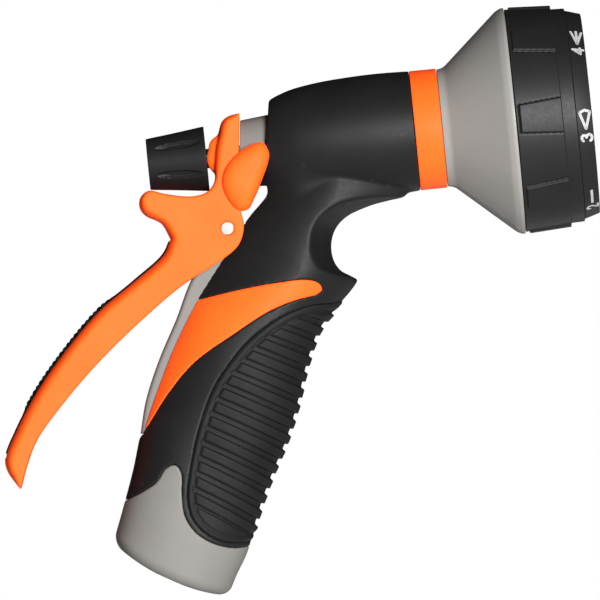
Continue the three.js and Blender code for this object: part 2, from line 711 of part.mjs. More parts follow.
function material(name) {
  const [color, roughness] = COLOURS[name];
  const metalness = name === "steel" || name === "brass" ? 1 : 0;
  return new THREE.MeshStandardMaterial({ color, roughness, metalness });
}

const nozzle = new THREE.Group();

function add(name, solid, look) {
  const mesh = new THREE.Mesh(geometryOf(solid.simplify(FINENESS)), material(look));
  mesh.name = name;
  nozzle.add(mesh);
}

const halves = shells();
add("shell_left", halves.left, "black");
add("shell_right", halves.right, "black");
add("core_body", core(), "grey");
add("inlet_end", inletEnd(), "grey");
add("accent_left", accent(1), "orange");
add("accent_right", accent(-1), "orange");
add("grip_pad", gripPad(), "rubber");
add("inlet_nut", inletNut(), "brass");
add("inlet_washer", inletWasher(), "rubber");
add("filter_screen", filterScreen(), "steel");
add("pivot_pin", crossRod(PIVOT.x, PIVOT.z, PIN_RADIUS, -LEVER.half - 0.2, LEVER.half + 0.2, 24), "steel");

add("stem_gland", gland(), "grey");
add("gland_seal", ringSeal(47.4, 0, VALVE_Z, 4.15, 0.75), "rubber");
add("valve_seat", tube(VALVE.seatRear, VALVE.seatFront, 5.5, HOUSING.bore - GAP, VALVE_Z, 28), "brass");
add("return_spring", spring(52.4, 80.0, 7.2, 1.2, 7, 0, VALVE_Z), "steel");
add("valve_stem", valveStem(), "steel");
add("valve_head", valveHead(), "brass");
add("valve_washer", tube(VALVE.washerRear, 85.8, STEM.radius + GAP, 8.3, VALVE_Z, 24), "rubber");
add("stem_clip", tube(78.9, 79.9, STEM.radius + GAP, 4.9, VALVE_Z, 16), "steel");

add("lever", lever(), "orange");
add("lever_pad", leverPad(), "rubber");
add("guard_left", guard(1), "orange");
add("guard_right", guard(-1), "orange");
add("flow_knob", flowKnob(), "black");
add("knob_insert", knobInsert(), "brass");

add("collar_ring", collarRing(), "orange");
add("head_bell", headBell(), "grey");
add("port_disc", portDisc(), "grey");
add("port_seal", ringSeal(119.3, 0, HEAD_Z + PATTERN_RADIUS, 4.5, 0.8, 16), "rubber");
add("detent_spring", spring(115.1, 117.0, 1.1, 0.4, 3, 0, HEAD_Z - 26, 3, 8), "steel");
add("detent_ball", detentBall(), "steel");
add("centre_screw", centreScrew(), "steel");

add("selector_plate", selectorPlate(), "grey");
add("dial_ring", dialRing(), "black");
add("rim_ring", rimRing(), "black");
add("spray_face", sprayFace(), "black");
add("jet_insert", insert("jet_insert", 1.6, 0.5), "orange");
add("cone_insert", insert("cone_insert", 2.2, 0.3), "grey");
add("mist_insert", insert("mist_insert", 0.8, 0.4), "grey");
add("face_cap", faceCap(), "orange");

export default nozzle;
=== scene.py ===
import math

import bpy
import numpy as np
from mathutils import Matrix, Vector


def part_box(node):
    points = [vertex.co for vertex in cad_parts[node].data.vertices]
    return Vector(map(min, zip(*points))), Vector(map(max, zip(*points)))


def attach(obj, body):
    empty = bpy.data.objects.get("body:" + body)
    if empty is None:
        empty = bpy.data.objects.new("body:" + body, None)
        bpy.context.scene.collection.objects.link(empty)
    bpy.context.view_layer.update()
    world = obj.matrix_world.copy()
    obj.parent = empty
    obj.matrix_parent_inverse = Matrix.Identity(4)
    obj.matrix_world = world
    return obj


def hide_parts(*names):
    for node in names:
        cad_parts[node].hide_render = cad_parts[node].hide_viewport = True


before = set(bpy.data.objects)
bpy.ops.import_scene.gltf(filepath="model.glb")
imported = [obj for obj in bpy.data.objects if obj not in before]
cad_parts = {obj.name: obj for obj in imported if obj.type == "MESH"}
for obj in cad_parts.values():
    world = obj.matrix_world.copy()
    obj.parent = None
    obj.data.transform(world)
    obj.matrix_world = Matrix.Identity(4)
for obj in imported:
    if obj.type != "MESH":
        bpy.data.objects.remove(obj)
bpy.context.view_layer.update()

MM = 0.001
FINE = 1.0
RAKE = math.radians(25)


# ------------------------------------------------------------------ places taken from the CAD parts of model.glb
def middle(node):
    low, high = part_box(node)
    return [500 * (a + b) for a, b in zip(low, high)]


def extent(node, axis):
    low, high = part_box(node)
    return 1000 * low[axis], 1000 * high[axis]


HEAD_Z = middle("dial_ring")[2]
VALVE_Z = middle("valve_stem")[2]
PIVOT_X, PIVOT_Z = middle("pivot_pin")[0], middle("pivot_pin")[2]
LEVER_HALF = extent("lever", 1)[1]
GLAND_RISE = 2.0  # the gland's cone is this much higher than the stem in it


# ------------------------------------------------------------------ lines of the side view, in mm
def smooth_line(points, steps=8):
    """Centripetal Catmull-Rom line through the points."""
    p = np.array(points, float)
    p = np.vstack([2 * p[0] - p[1], p, 2 * p[-1] - p[-2]])
    line = []
    for a, b, c, d in zip(p, p[1:], p[2:], p[3:]):
        t1 = np.linalg.norm(b - a) ** 0.5
        t2 = t1 + np.linalg.norm(c - b) ** 0.5
        t3 = t2 + np.linalg.norm(d - c) ** 0.5
        for k in range(steps):
            t = t1 + (t2 - t1) * k / steps
            a1 = ((t1 - t) * a + t * b) / t1
            a2 = ((t2 - t) * b + (t - t1) * c) / (t2 - t1)
            a3 = ((t3 - t) * c + (t - t2) * d) / (t3 - t2)
            b1 = ((t2 - t) * a1 + t * a2) / t2
            b2 = ((t3 - t) * a2 + (t - t1) * a3) / (t3 - t1)
            line.append(((t2 - t) * b1 + (t - t1) * b2) / (t2 - t1))
    line.append(p[-2])
    return np.array(line)


def joined(*lines):
    rows = [np.array(line, float) for line in lines]
    return np.vstack(rows)


GREY_EDGE = smooth_line([
    (-16, 23.8), (-10.9, 25.7), (-5.5, 27.8), (-0.8, 30.4), (2.6, 34.4), (5.4, 35.1), (7.0, 32.4),
    (6.5, 26), (6.8, 19.2), (9.2, 14.4), (13.6, 10.6), (19.5, 8.2), (24, 7.9), (31, 8.9)])
GREY_REGION = joined(GREY_EDGE, [(31, -20), (-40, -20), (-40, 23.8)])
PAD_EDGE = smooth_line([
    (66, 82.5), (59.7, 79.9), (51.4, 79.6), (42.5, 77.2), (33.6, 72.3), (26, 65.5), (19.1, 56.8),
    (13.4, 44.4), (9.8, 33), (8.2, 24.5), (9.0, 18.3), (12.6, 13.4), (18.0, 10.2), (24.5, 9.5), (31, 10.6)])
PAD_REGION = joined(PAD_EDGE, [(40, 12), (74, 60), (74, 82.5)])
ACCENT_REGION = joined(
    smooth_line([(12, 84.3), (17.6, 84.9), (29, 86.5), (41, 87.6), (51.5, 87.6), (54.8, 86.2), (55.6, 84.2),
                 (53.6, 82.7)])[:-1],
    smooth_line([(53.6, 82.7), (46.9, 81.7), (38.5, 79.1), (27.6, 73.5), (14.4, 65.9), (5.6, 57.4),
                 (-2.4, 47.2), (-8, 40.5)]))
SPINE_OUTER = smooth_line([(25, 100.5), (16.8, 92.6), (9.9, 79.3), (3.5, 67.6), (-1.7, 55.7), (-4.4, 45.6)])
SPINE_REGION = joined(
    SPINE_OUTER, [(0.5, 45.6)], smooth_line([(4.5, 55), (12, 70), (21.5, 84), (33, 96), (44, 112)]))
# The slot for the spine goes on up past the lever's pivot.
LUG_ROOM = np.array([(24, 100), (33, 98), (46, 112), (46, 117.5), (36, 118), (24, 106)])
LEVER_BACK = smooth_line([
    (10.6, 104.5), (7.9, 99.9), (-1.7, 92.8), (-13.4, 84.7), (-25, 73.5),
    (-34.8, 62.1), (-42.5, 50.5), (-46.5, 42.5), (-46.3, 38.5), (-42.7, 32.3)])
LEVER_FRONT = smooth_line([
    (-42.7, 32.3), (-39.9, 39.8), (-36.3, 46.8), (-26.2, 58.2), (-14.3, 69.4), (-0.5, 80.4),
    (13, 89.8), (25.8, 96.3), (31.4, 100.4), (33.6, 105.8), (33.0, 111.5)])
YOKE_FRONT = smooth_line([(33.0, 111.5), (33.6, 122), (34.6, 131), (35.7, 140.7)])
YOKE_BACK = smooth_line([
    (35.7, 140.7), (32.0, 140.0), (30.0, 138.6), (28.4, 134.7), (27.0, 131.0), (26.3, 125), (26.0, 120.6),
    (23.4, 117.6), (18.5, 116.7), (10.4, 118.3), (5.6, 119.7), (2.9, 118.0), (2.2, 115), (3.6, 112.3),
    (8.4, 109.2), (10.6, 104.5)])
CHANNEL_REGION = joined(
    smooth_line([(-36.6, 48.6), (-38.2, 51.4), (-30.7, 63.6), (-21, 74.6), (-9, 85.6), (3.6, 94.2),
                 (12.8, 100.8), (15.0, 106.5), (19.5, 112), (26, 115.5), (40, 117)]),
    [(60, 90), (20, 70), (-10, 45), (-32, 40)])
# How far the lever's back edges are rounded, along its back from the yoke's top to the free end.
BACK_ROUNDING = smooth_line([
    (35.7, 140.7, 1.0), (32.0, 140.0, 1.2), (30.0, 138.6, 1.7), (28.4, 134.7, 2.0), (27.0, 131.0, 2.2),
    (26.3, 125, 1.4), (26.0, 120.6, 0.5), (23.4, 117.6, 0.2), (10.4, 118.3, 0.2), (5.6, 119.7, 0.4),
    (2.9, 118.0, 1.2), (2.2, 115, 2.0), (3.6, 112.3, 2.0), (8.4, 109.2, 1.8), (10.6, 104.5, 2.2),
    (7.9, 99.9, 2.6), (-13.4, 84.7, 2.5), (-34.8, 62.1, 2.5), (-42.5, 50.5, 2.5), (-46.5, 42.5, 2.4),
    (-46.3, 38.5, 2.0), (-42.7, 32.3, 0.6)])
GUARD_EDGE = smooth_line([
    (42.6, 130.3), (43.6, 127.8), (42.9, 124.6), (40.7, 119.8), (37.6, 114.2), (35.5, 111.2), (32.6, 110.9),
    (29.6, 114.4), (28.2, 119.6), (29.6, 124.2), (34.6, 128.9), (39.7, 131.0), (41.5, 131.1), (42.6, 130.3)])[:-1]


# ------------------------------------------------------------------ distance fields, negative inside
class Grid:
    """A box of sample points. Fields that only depend on the side view are kept flat, without Y."""

    def __init__(self, low, high, step):
        self.low = np.array(low, float)
        self.step = step * FINE
        axes = [np.arange(a, b + self.step, self.step, dtype=np.float32) for a, b in zip(low, high)]
        self.x, self.y, self.z = axes[0][:, None, None], axes[1][None, :, None], axes[2][None, None, :]
        self.plan = (np.repeat(axes[0][:, None], len(axes[2]), 1),
                     np.repeat(axes[2][None, :], len(axes[0]), 0))

    def across(self):
        x, z = self.plan
        return x * math.cos(RAKE) - z * math.sin(RAKE)

    def height(self):
        x, z = self.plan
        return x * math.sin(RAKE) + z * math.cos(RAKE)


def deep(flat):
    return flat[:, None, :]


def step_up(value, low, high):
    t = np.clip((value - low) / (high - low), 0, 1)
    return t * t * (3 - 2 * t)


def cut_round(a, b, radius):
    """Where both fields are negative, with a fillet along the edge between them."""
    corner = np.hypot(np.maximum(a + radius, 0), np.maximum(b + radius, 0))
    return np.minimum(np.maximum(a, b), -radius) + corner


def join_soft(a, b, width):
    h = np.clip(0.5 + 0.5 * (b - a) / width, 0, 1)
    return b * (1 - h) + a * h - width * h * (1 - h)


def away_from_line(plan, line):
    """Distance to an open line of the side view."""
    x, z = plan
    best = np.full(x.shape, 1e9, np.float32)
    for (ax, az), (bx, bz) in zip(line, line[1:]):
        ex, ez = bx - ax, bz - az
        t = np.clip(((x - ax) * ex + (z - az) * ez) / (ex * ex + ez * ez + 1e-9), 0, 1)
        best = np.minimum(best, (x - ax - t * ex) ** 2 + (z - az - t * ez) ** 2)
    return np.sqrt(best).astype(np.float32)


def value_along(plan, line):
    """The third column of a line at its point nearest to each point of the side view."""
    x, z = plan
    best = np.full(x.shape, 1e9, np.float32)
    value = np.zeros(x.shape, np.float32)
    for (ax, az, av), (bx, bz, bv) in zip(line, line[1:]):
        ex, ez = bx - ax, bz - az
        t = np.clip(((x - ax) * ex + (z - az) * ez) / (ex * ex + ez * ez + 1e-9), 0, 1)
        gap = (x - ax - t * ex) ** 2 + (z - az - t * ez) ** 2
        value = np.where(gap < best, av + t * (bv - av), value)
        best = np.minimum(gap, best)
    return value


def region(plan, outline):
    """Signed distance to a closed outline of the side view."""
    x, z = plan
    closed = np.vstack([outline, outline[:1]])
    inside = np.zeros(x.shape, bool)
    for (ax, az), (bx, bz) in zip(closed, closed[1:]):
        if az != bz:
            inside ^= ((az > z) != (bz > z)) & (x < ax + (z - az) / (bz - az) * (bx - ax))
    return np.where(inside, -1, 1).astype(np.float32) * away_from_line(plan, closed)


def rod_x(grid, radius, z, y=0.0):
    return np.hypot(grid.y - y, grid.z - z) - radius


def rod_y(grid, radius, x, z):
    return deep(np.hypot(grid.plan[0] - x, grid.plan[1] - z)) - radius + 0 * grid.y


def rod_handle(grid, radius):
    return np.hypot(deep(grid.across()), grid.y) - radius


# ------------------------------------------------------------------ the body's outer form
def rung(h, rear, front, half, widest=0.5):
    c, s = math.cos(RAKE), math.sin(RAKE)
    return (c * rear + s * h, -s * rear + c * h, c * front + s * h, -s * front + c * h, half, widest)


# Each rung crosses the side view from the rear outline to the front one: rear x, z, front x, z, half
# width, and where along it the body is widest. Above the spur the front ends lie out past the finger
# notch, which is cut in afterwards.
RUNGS = np.array([
    rung(-9, -20.0, 18.9, 17.5),
    rung(2, -20.0, 18.8, 17.5),
    rung(8, -20.3, 19.0, 17.7),
    rung(16, -20.8, 19.8, 17.9),
    rung(28, -21.75, 18.9, 17.7),
    rung(40, -23.35, 18.9, 17.4),
    rung(52, -24.3, 19.6, 17.5),
    rung(64, -24.3, 19.2, 17.5),
    rung(76, -23.3, 17.9, 17.2, 0.52),
    rung(88, -22.3, 18.0, 16.9, 0.56),
    rung(97, -20.8, 21.2, 16.6, 0.60),
    rung(103, -19.4, 23.5, 16.4, 0.60),
    (28.6, 105.4, 66.9, 86.0, 16.2, 0.57),
    (33.0, 110.9, 70.5, 92.0, 15.9, 0.55),
    (36.4, 113.9, 73.0, 97.0, 15.4, 0.54),
    (40.2, 117.8, 77.0, 101.5, 14.8, 0.53),
    (43.6, 122.2, 82.5, 105.5, 14.2, 0.50),
    (45.6, 126.9, 88.0, 109.3, 13.3, 0.45),
    (47.0, 134.0, 88.0, 114.0, 11.0, 0.45),
    (56.0, 139.0, 88.0, 120.0, 7.0, 0.45),
])
# The notch for the finger: its line in the side view, and how deep it bites at the full half width.
NOTCH = smooth_line([
    (67.3, 85.9, 0.0), (64.6, 87.7, 1.5), (61.9, 89.6, 3.0), (60.1, 93.1, 5.6), (59.9, 97.6, 6.3),
    (61.5, 102.0, 6.5), (65.1, 105.5, 5.3), (72.8, 108.3, 3.7), (79.0, 109.4, 2.1), (83.4, 110.1, 0.5),
    (85.3, 111.4, 0.0), (88.5, 111.9, 0.0)])
NOTCH_REGION = joined(NOTCH[:, :2], [(98, 112), (98, 85.9)])
BARREL = smooth_line([
    (41.0, 12.0), (45.2, 13.9), (48.0, 15.1), (51.7, 16.3), (56.0, 17.15), (61.9, 17.9), (69.4, 18.4),
    (76.9, 18.65), (83.0, 18.6), (89.0, 18.4)])


def rung_places(plan):
    """For each point of the side view: its place along its rung, and the rung's length, half width and
    widest place."""
    x, z = plan
    found = np.full(x.shape, 1e9, np.float32)
    place = np.zeros(x.shape + (4,), np.float32)
    before = None
    for row in smooth_line(RUNGS, 10):
        dx, dz = row[2] - row[0], row[3] - row[1]
        reach = math.hypot(dx, dz)
        side = ((x - row[0]) * dz - (z - row[1]) * dx) / reach
        along = ((x - row[0]) * dx + (z - row[1]) * dz) / reach
        off = np.maximum(np.maximum(-along, along - reach), 0)
        values = (along, reach, row[4], row[5])
        if before:
            mix = np.clip(before[0] / (before[0] - side + 1e-9), 0, 1)
            hit = ((before[0] < 0) != (side < 0)) & (np.minimum(off, before[2]) < found)
            found = np.where(hit, np.minimum(off, before[2]), found)
            for k, (now, then) in enumerate(zip(values, before[1])):
                place[..., k] = np.where(hit, then + (now - then) * mix, place[..., k])
        before = (side, values, off)
    return place, found < 25


def body_field(grid):
    place, known = rung_places(grid.plan)
    along, reach, half, widest = (place[..., k] for k in range(4))
    half = np.maximum(half, 1)
    middle_at = widest * reach
    to_end = np.maximum(np.where(along < middle_at, middle_at, reach - middle_at), 1)
    u = np.abs(along - middle_at) / to_end
    h = grid.height()
    rear_power = 2.6 - 0.6 * step_up(h, 30, 60) - 0.3 * step_up(h, 74, 92)
    front_power = 2.45 - 0.75 * step_up(h, 78, 104)
    power = np.where(along < middle_at, rear_power, front_power)
    w = np.abs(grid.y) / deep(half)
    q = np.maximum(deep(u ** power) + w ** deep(power), 1e-6)
    level = q ** (1 / deep(power))
    along_slope, across_slope = deep(u ** (power - 1) / to_end), w ** deep(power - 1) / deep(half)
    slope = np.hypot(along_slope, across_slope) * level ** deep(1 - power)
    handle = (level - 1) / np.maximum(slope, 0.02)
    handle = np.where(deep(known), handle, 30)
    bite = deep(value_along(grid.plan, NOTCH)) * np.maximum(np.abs(grid.y) / 15.5, 0.05) ** 1.3
    lean = np.sqrt(1 + (1.3 * bite / np.maximum(np.abs(grid.y), 1)) ** 2)
    handle = cut_round(handle, (bite - deep(region(grid.plan, NOTCH_REGION))) / lean, 0.7)
    t = grid.across() - 5.5
    sole = (0.0077 * t * t - grid.height()) / np.sqrt(1 + (0.0154 * t) ** 2)
    handle = cut_round(handle, deep(sole), 3.2)
    radius = np.interp(grid.x, BARREL[:, 0], BARREL[:, 1]).astype(np.float32)
    rear = (45.0 - grid.x - 0.154 * (143.9 - grid.z)) / 1.012
    barrel = cut_round(rod_x(grid, radius, HEAD_Z), rear, 0.8)
    barrel = cut_round(barrel, grid.x - extent("shell_left", 0)[1] + 0 * grid.y, 0.2)
    blend = 7.0 - 6.2 * step_up(grid.x, 48, 62)
    return join_soft(handle, barrel, blend)


def hollow_inside(grid):
    bore = 12.0 - 2.8 * step_up(grid.height(), 96, 104)
    tube = np.maximum(rod_handle(grid, deep(bore)), deep(grid.height() - 134))
    chamber = np.maximum(rod_x(grid, 12.9, VALVE_Z), 46.5 - grid.x)
    gland = np.maximum(rod_x(grid, 10.1, VALVE_Z + GLAND_RISE), grid.x - 60)
    slot = np.minimum(region(grid.plan, SPINE_REGION) - 0.15, region(grid.plan, LUG_ROOM))
    slot = np.maximum(deep(slot), np.abs(grid.y) - 6.7)
    return np.minimum(np.minimum(tube, chamber), np.minimum(gland, slot))


# ------------------------------------------------------------------ fields to meshes
CORNERS = [(i, j, k) for i in (0, 1) for j in (0, 1) for k in (0, 1)]
EDGES = [(a, b) for a in CORNERS for b in CORNERS if a < b and sum(abs(p - q) for p, q in zip(a, b)) == 1]


def surface(field, grid):
    """The zero level of a field as points in mm and quads."""
    field = np.ascontiguousarray(field, dtype=np.float32)
    for axis in range(3):
        ends = [slice(None)] * 3
        for end in (0, -1):
            ends[axis] = end
            field[tuple(ends)] = np.maximum(field[tuple(ends)], 0.01)
    inside = field < 0
    cells = tuple(n - 1 for n in field.shape)
    count = np.zeros(cells, np.int8)
    for c in CORNERS:
        count += inside[tuple(slice(o, o + n) for o, n in zip(c, cells))]
    active = (count > 0) & (count < 8)
    base = np.argwhere(active)
    number = np.full(cells, -1, np.int32)
    number[active] = np.arange(len(base))
    total = np.zeros((len(base), 3))
    hits = np.zeros(len(base))
    for a, b in EDGES:
        fa, fb = field[tuple((base + a).T)], field[tuple((base + b).T)]
        cross = (fa < 0) != (fb < 0)
        t = np.where(cross, fa / np.where(cross, fa - fb, 1), 0)
        total += np.where(cross[:, None], np.array(a) + t[:, None] * (np.array(b) - np.array(a)), 0)
        hits += cross
    points = grid.low + grid.step * (base + total / hits[:, None])
    quads = []
    for axis in range(3):
        u, v = (axis + 1) % 3, (axis + 2) % 3
        here = [slice(1, -1)] * 3
        here[axis] = slice(0, -1)
        there = list(here)
        there[axis] = slice(1, None)
        first = inside[tuple(here)]
        where = np.argwhere(first != inside[tuple(there)])
        if not len(where):
            continue
        start = where.copy()
        start[:, [u, v]] += 1
        du, dv = np.eye(3, dtype=int)[u], np.eye(3, dtype=int)[v]
        quad = np.stack([number[tuple((start - o).T)] for o in (0 * du, du, du + dv, dv)], 1)
        back = ~first[tuple(where.T)]
        quad[back] = quad[back][:, ::-1]
        quads.append(quad)
    return points, np.vstack(quads)


def mirrored(points, faces):
    return points * [1, -1, 1], [tuple(reversed(f)) for f in faces]


def piece(name, points, faces, body, slot, look, stands_for=None, sharp=None):
    mesh = bpy.data.meshes.new(name)
    mesh.from_pydata((np.array(points) * MM).tolist(), [], [tuple(int(i) for i in f) for f in faces])
    mesh.validate()
    mesh.polygons.foreach_set("use_smooth", [True] * len(mesh.polygons))
    if sharp:
        mesh.set_sharp_from_angle(angle=math.radians(sharp))
    made = bpy.data.objects.new(name, mesh)
    bpy.context.scene.collection.objects.link(made)
    made.data.materials.append(look)
    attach(made, body)
    if stands_for:
        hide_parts(stands_for)
    return made


def rounded(profile, radius, steps=4):
    """A line of points whose corners are turned into arcs. Both ends stay."""
    p = [Vector(q) for q in profile]
    radii = radius if isinstance(radius, (list, tuple)) else [radius] * len(p)
    line = [tuple(p[0])]
    for a, b, c, r in zip(p, p[1:], p[2:], radii[1:]):
        before, after = (a - b), (c - b)
        reach = min(r, 0.45 * before.length, 0.45 * after.length)
        start, end = b + before.normalized() * reach, b + after.normalized() * reach
        for k in range(steps + 1):
            t = k / steps
            line.append(tuple(start.lerp(b, t).lerp(b.lerp(end, t), t)))
    line.append(tuple(p[-1]))
    return line


def turned(profile, centre, axis, segments=160, shape=None, ring=False):
    """Turn a line of (along, radius) about an axis. shape(along, angle, radius) may change the radius."""
    way = Vector(axis).normalized()
    side = Vector((0, 1, 0)) if abs(way.y) < 0.9 else Vector((1, 0, 0))
    up = way.cross(side)
    rows = list(profile)
    points, faces = [], []
    for along, radius in rows:
        for k in range(segments):
            a = 2 * math.pi * k / segments
            r = shape(along, a, radius) if shape else radius
            points.append(tuple(Vector(centre) + way * along + (side * math.cos(a) + up * math.sin(a)) * r))
    count = len(rows)
    for i in range(count if ring else count - 1):
        j = (i + 1) % count
        for k in range(segments):
            m = (k + 1) % segments
            faces.append((i * segments + k, j * segments + k, j * segments + m, i * segments + m))
    if not ring:
        faces.append(tuple(range(segments)))
        faces.append(tuple(reversed(range((count - 1) * segments, count * segments))))
    return np.array(points), outward(points, faces)


def outward(points, faces):
    """Turn all faces round if they point into the solid."""
    p = np.array(points)
    volume = 0.0
    for size in {len(f) for f in faces}:
        group = np.array([f for f in faces if len(f) == size])
        for k in range(1, size - 1):
            volume += np.sum(p[group[:, 0]] * np.cross(p[group[:, k]], p[group[:, k + 1]]))
    return faces if volume > 0 else [tuple(reversed(f)) for f in faces]


# ------------------------------------------------------------------ materials
def nodes_of(name):
    look = bpy.data.materials.new(name)
    look.use_nodes = True
    tree = look.node_tree
    shader = tree.nodes["Principled BSDF"]
    place = tree.nodes.new("ShaderNodeTexCoord")
    return look, tree, shader, place


def noise(tree, place, scale, detail=3.0, rough=0.55):
    node = tree.nodes.new("ShaderNodeTexNoise")
    node.inputs["Scale"].default_value = scale
    node.inputs["Detail"].default_value = detail
    node.inputs["Roughness"].default_value = rough
    tree.links.new(place.outputs["Object"], node.inputs["Vector"])
    return node.outputs["Fac"]


def spread(tree, value, low, high, start=0.3, end=0.7):
    node = tree.nodes.new("ShaderNodeMapRange")
    node.inputs["From Min"].default_value = start
    node.inputs["From Max"].default_value = end
    node.inputs["To Min"].default_value = low
    node.inputs["To Max"].default_value = high
    tree.links.new(value, node.inputs["Value"])
    return node.outputs["Result"]


def blend_colour(tree, share, first, second):
    node = tree.nodes.new("ShaderNodeMix")
    node.data_type = "RGBA"
    for socket, colour in ((node.inputs[6], first), (node.inputs[7], second)):
        if hasattr(colour, "is_output"):
            tree.links.new(colour, socket)
        else:
            socket.default_value = (*colour, 1)
    tree.links.new(share, node.inputs[0])
    return node.outputs[2]


def worn_edges(tree, amount):
    edges = tree.nodes.new("ShaderNodeNewGeometry")
    return spread(tree, edges.outputs["Pointiness"], 0.0, amount, 0.52, 0.60)


def moulded(name, colour, paler, roughness, gloss, grain, depth, wear=0.0, worn=None, coat=0.0, swing=0.03):
    """Moulded plastic or rubber: mottled colour, uneven gloss, a fine grain, and rubbed edges."""
    look, tree, shader, place = nodes_of(name)
    mottle = noise(tree, place, 70, 5)
    shade = blend_colour(tree, spread(tree, mottle, 0, 1), colour, paler)
    if wear:
        shade = blend_colour(tree, worn_edges(tree, wear), shade, worn)
    tree.links.new(shade, shader.inputs["Base Color"])
    smear = noise(tree, place, 700, 4, 0.6)
    tree.links.new(spread(tree, smear, roughness - swing, roughness + swing), shader.inputs["Roughness"])
    fine = noise(tree, place, grain, 2)
    bump = tree.nodes.new("ShaderNodeBump")
    bump.inputs["Strength"].default_value = depth
    bump.inputs["Distance"].default_value = 0.0001
    tree.links.new(fine, bump.inputs["Height"])
    tree.links.new(bump.outputs["Normal"], shader.inputs["Normal"])
    shader.inputs["Coat Weight"].default_value = coat
    shader.inputs["Coat Roughness"].default_value = 0.10
    shader.inputs["Specular IOR Level"].default_value = gloss
    return look


def metal(name, colour, roughness, grain=900, stretch=(1, 1, 1), depth=0.15):
    look, tree, shader, place = nodes_of(name)
    shader.inputs["Metallic"].default_value = 1.0
    scale = tree.nodes.new("ShaderNodeMapping")
    scale.inputs["Scale"].default_value = stretch
    tree.links.new(place.outputs["Object"], scale.inputs["Vector"])
    brush = tree.nodes.new("ShaderNodeTexNoise")
    brush.inputs["Scale"].default_value = grain
    brush.inputs["Detail"].default_value = 4
    tree.links.new(scale.outputs["Vector"], brush.inputs["Vector"])
    uneven = spread(tree, brush.outputs["Fac"], roughness * 0.7, roughness * 1.4)
    tree.links.new(uneven, shader.inputs["Roughness"])
    darker = tuple(0.72 * c for c in colour)
    shade = blend_colour(tree, spread(tree, noise(tree, place, 300), 0, 1), colour, darker)
    tree.links.new(shade, shader.inputs["Base Color"])
    bump = tree.nodes.new("ShaderNodeBump")
    bump.inputs["Strength"].default_value = depth
    bump.inputs["Distance"].default_value = 0.00005
    tree.links.new(brush.outputs["Fac"], bump.inputs["Height"])
    tree.links.new(bump.outputs["Normal"], shader.inputs["Normal"])
    return look


BLACK = moulded("soft_black", (0.0052, 0.0052, 0.0054), (0.0066, 0.0066, 0.0068), 0.50, 0.095, 2600, 0.20,
                0.30, (0.022, 0.022, 0.022))
RUBBER = moulded("grip_rubber", (0.0050, 0.0050, 0.0051), (0.0070, 0.0070, 0.0071), 0.58, 0.078, 3200, 0.35,
                 0.30, (0.024, 0.024, 0.024))
DIAL = moulded("dial_black", (0.0058, 0.0058, 0.0059), (0.0078, 0.0078, 0.0079), 0.48, 0.125, 2400, 0.18,
               0.35, (0.030, 0.030, 0.030))
ORANGE = moulded("orange_plastic", (0.90, 0.073, 0.0075), (0.95, 0.084, 0.0095), 0.54, 0.07, 1500, 0.06,
                 0.25, (0.98, 0.14, 0.03))
GREY = moulded("grey_plastic", (0.109, 0.1045, 0.098), (0.117, 0.112, 0.105), 0.50, 0.10, 900, 0.05)
# The bell's grey: a glossier finish than GREY (coat, lower roughness), and a base colour painted brighter than the
# same grey plastic elsewhere, as painted light on the bell.
GLOSSY_GREY_PAINTED_BRIGHT = moulded("glossy_grey_painted_bright", (0.160, 0.154, 0.145), (0.169, 0.163, 0.153), 0.42, 0.12, 600, 0.03,
                    coat=0.16)
SEAL = moulded("seal_rubber", (0.016, 0.016, 0.016), (0.022, 0.022, 0.022), 0.65, 0.2, 1800, 0.4)
PRINT = moulded("white_print", (0.27, 0.27, 0.265), (0.30, 0.30, 0.295), 0.5, 0.2, 3000, 0.2)
STEEL = metal("bright_steel", (0.50, 0.50, 0.51), 0.30)
PIN_WHITE = moulded("pin_coating", (0.26, 0.26, 0.255), (0.275, 0.275, 0.27), 0.45, 0.12, 2600, 0.15,
                    0.3, (0.22, 0.22, 0.22))
BRASS = metal("machined_brass", (0.42, 0.28, 0.10), 0.34)

# ------------------------------------------------------------------ body pieces
GRIP = "grip"
GAP = 0.03  # the seam on each side of an outline where two outer pieces meet
CAP_DEPTH, PAD_DEPTH, INLAY_DEPTH = 2.5, 3.0, 1.4  # how deep these pieces lie in the black skin
CAP_SOLID_TO = 15.0  # up to this height on the handle the grey end is solid all the way in


def pad_seam(grid):
    """The pad's outline; a tongue of the shell in the middle keeps light from shining through the seam."""
    return deep(region(grid.plan, PAD_REGION)) + 0.5 * (np.abs(grid.y) < 1.5)


grid = Grid((-19, -1.2, 4), (91, 20, 151), 0.42)
skin = body_field(grid)
black = np.maximum(skin, -hollow_inside(grid))
cap_room = np.minimum(-(skin + CAP_DEPTH), deep(grid.height() - CAP_SOLID_TO))
cap_pocket = np.maximum(deep(region(grid.plan, GREY_REGION)), cap_room)
black = cut_round(black, GAP - cap_pocket, 0.12)
pad_pocket = np.maximum(pad_seam(grid), -(skin + PAD_DEPTH))
black = cut_round(black, 0.02 - pad_pocket, 0.08)
pocket = np.maximum(deep(region(grid.plan, ACCENT_REGION)), -(skin + INLAY_DEPTH))
black = cut_round(black, GAP - pocket, 0.15)
black = cut_round(black, GAP - grid.y, 0.15)
points, faces = surface(black, grid)
piece("shell_skin_left", points, faces, GRIP, "black_shell", BLACK, "shell_left")
piece("shell_skin_right", *mirrored(points, faces), GRIP, "black_shell", BLACK, "shell_right")

grid = Grid((-5, 6, 46), (59, 19, 90), 0.36)
skin = body_field(grid)
inlay = np.maximum(np.maximum(skin, -(skin + 1.25)), 6.9 - grid.y)
inlay = cut_round(inlay, deep(region(grid.plan, ACCENT_REGION) + GAP), 0.2)
points, faces = surface(inlay, grid)
piece("inlay_left", points, faces, GRIP, "orange_plastic", ORANGE, "accent_left")
piece("inlay_right", *mirrored(points, faces), GRIP, "orange_plastic", ORANGE, "accent_right")

